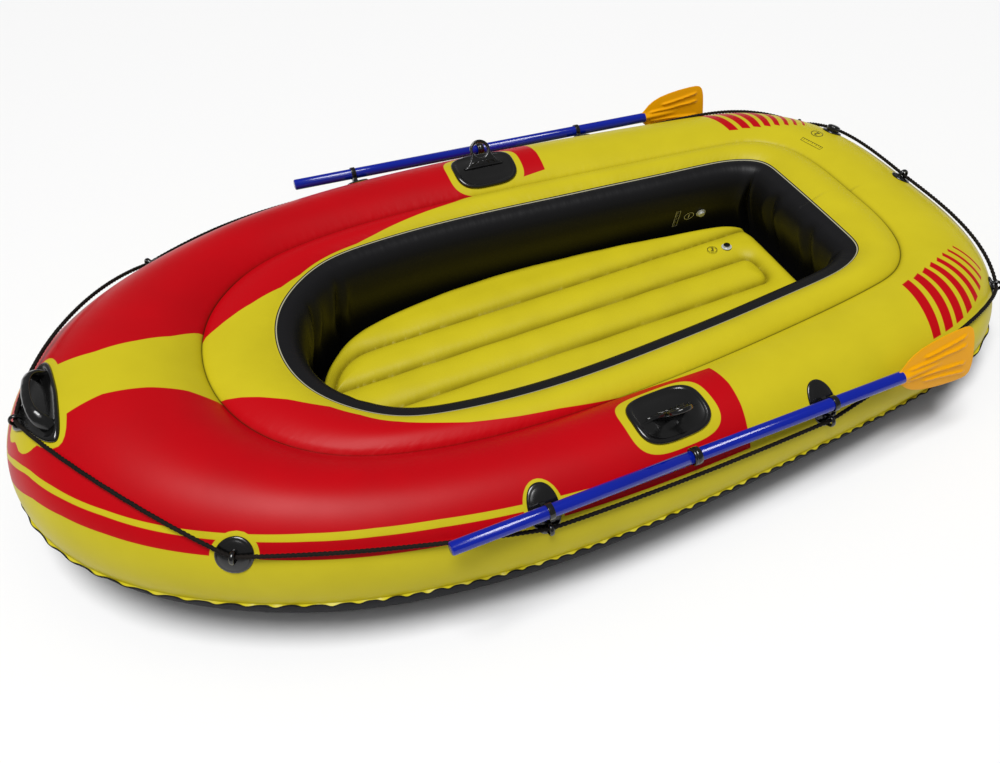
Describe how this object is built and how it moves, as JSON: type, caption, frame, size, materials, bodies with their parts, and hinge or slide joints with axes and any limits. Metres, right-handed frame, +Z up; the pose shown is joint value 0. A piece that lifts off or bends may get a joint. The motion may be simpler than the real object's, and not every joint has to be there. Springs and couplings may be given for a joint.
{
  "type": "inflatable boat",
  "caption": "Inflatable dinghy with an outer and an inner air chamber, mattress floor, oarlocks, rope holders, bow handle, grab rope, air valves and clipped-on oars.",
  "frame": {"origin": "on the ground under the boat, in the middle of the flat bottom between bow and stern", "axes": "+X towards the stern, -X towards the bow, +Y to starboard, +Z up"},
  "size_m": [2.1172, 1.159, 0.3621],
  "materials": {
    "yellow_vinyl": "satin",
    "black_vinyl": "satin",
    "black_plastic": "satin",
    "blue_plastic": "gloss",
    "orange_plastic": "satin",
    "clear_plastic": "gloss",
    "black_rope": "matte"
  },
  "bodies": {
    "hull": {"outer_chamber": "yellow_vinyl", "inner_chamber": "black_vinyl", "bottom_sheet": "black_vinyl", "perimeter_flange": "yellow_vinyl", "floor_mattress": "yellow_vinyl", "rope_holder_port_bow": "black_plastic", "rope_holder_port_stern": "black_plastic", "rope_holder_starboard_bow": "black_plastic", "rope_holder_starboard_stern": "black_plastic", "rope_holder_stern_centre": "black_plastic", "oar_holder_port_fore": "black_plastic", "oar_holder_port_aft": "black_plastic", "oar_holder_starboard_fore": "black_plastic", "oar_holder_starboard_aft": "black_plastic", "oarlock_port": "black_plastic", "oarlock_starboard": "black_plastic", "bow_handle": "black_plastic", "grab_rope": "black_rope", "valve_1_body": "clear_plastic", "valve_2_body": "black_plastic", "valve_3_body": "clear_plastic"},
    "oar_port": {"oar_port_blade_half": "blue_plastic", "oar_port_collar": "black_plastic", "oar_port_blade": "orange_plastic"},
    "oar_port_grip": {"oar_port_grip_half": "blue_plastic"},
    "oar_starboard": {"oar_starboard_blade_half": "blue_plastic", "oar_starboard_collar": "black_plastic", "oar_starboard_blade": "orange_plastic"},
    "oar_starboard_grip": {"oar_starboard_grip_half": "blue_plastic"},
    "valve_1_plug": {"valve_1_plug": "clear_plastic"},
    "valve_2_cap": {"valve_2_cap": "black_plastic"},
    "valve_3_plug": {"valve_3_plug": "black_plastic"}
  },
  "joints": [
    {"name": "oar_port_slide", "type": "slide", "parent": "hull", "child": "oar_port", "axis": [0.9979, 0.0356, -0.0543], "range_m": [-0.03, 0.16]},
    {"name": "oar_port_pull_apart", "type": "slide", "parent": "oar_port", "child": "oar_port_grip", "axis": [-0.9979, -0.0356, 0.0543], "range_m": [0, 0.1]},
    {"name": "oar_starboard_slide", "type": "slide", "parent": "hull", "child": "oar_starboard", "axis": [0.9967, -0.0184, -0.0792], "range_m": [-0.06, 0.12]},
    {"name": "oar_starboard_pull_apart", "type": "slide", "parent": "oar_starboard", "child": "oar_starboard_grip", "axis": [-0.9967, 0.0184, 0.0792], "range_m": [0, 0.1]},
    {"name": "valve_1_pull", "type": "slide", "parent": "hull", "child": "valve_1_plug", "axis": [-0.1109, -0.9935, -0.0263], "range_m": [0, 0.012]},
    {"name": "valve_2_turn", "type": "hinge", "parent": "hull", "child": "valve_2_cap", "pos_m": [0.94132, 0.23449, 0.19979], "axis": [0.4569, 0.1453, 0.8776], "range_deg": [0, 360]},
    {"name": "valve_3_pull", "type": "slide", "parent": "hull", "child": "valve_3_plug", "axis": [0, 0, 1], "range_m": [0, 0.012]}
  ]
}
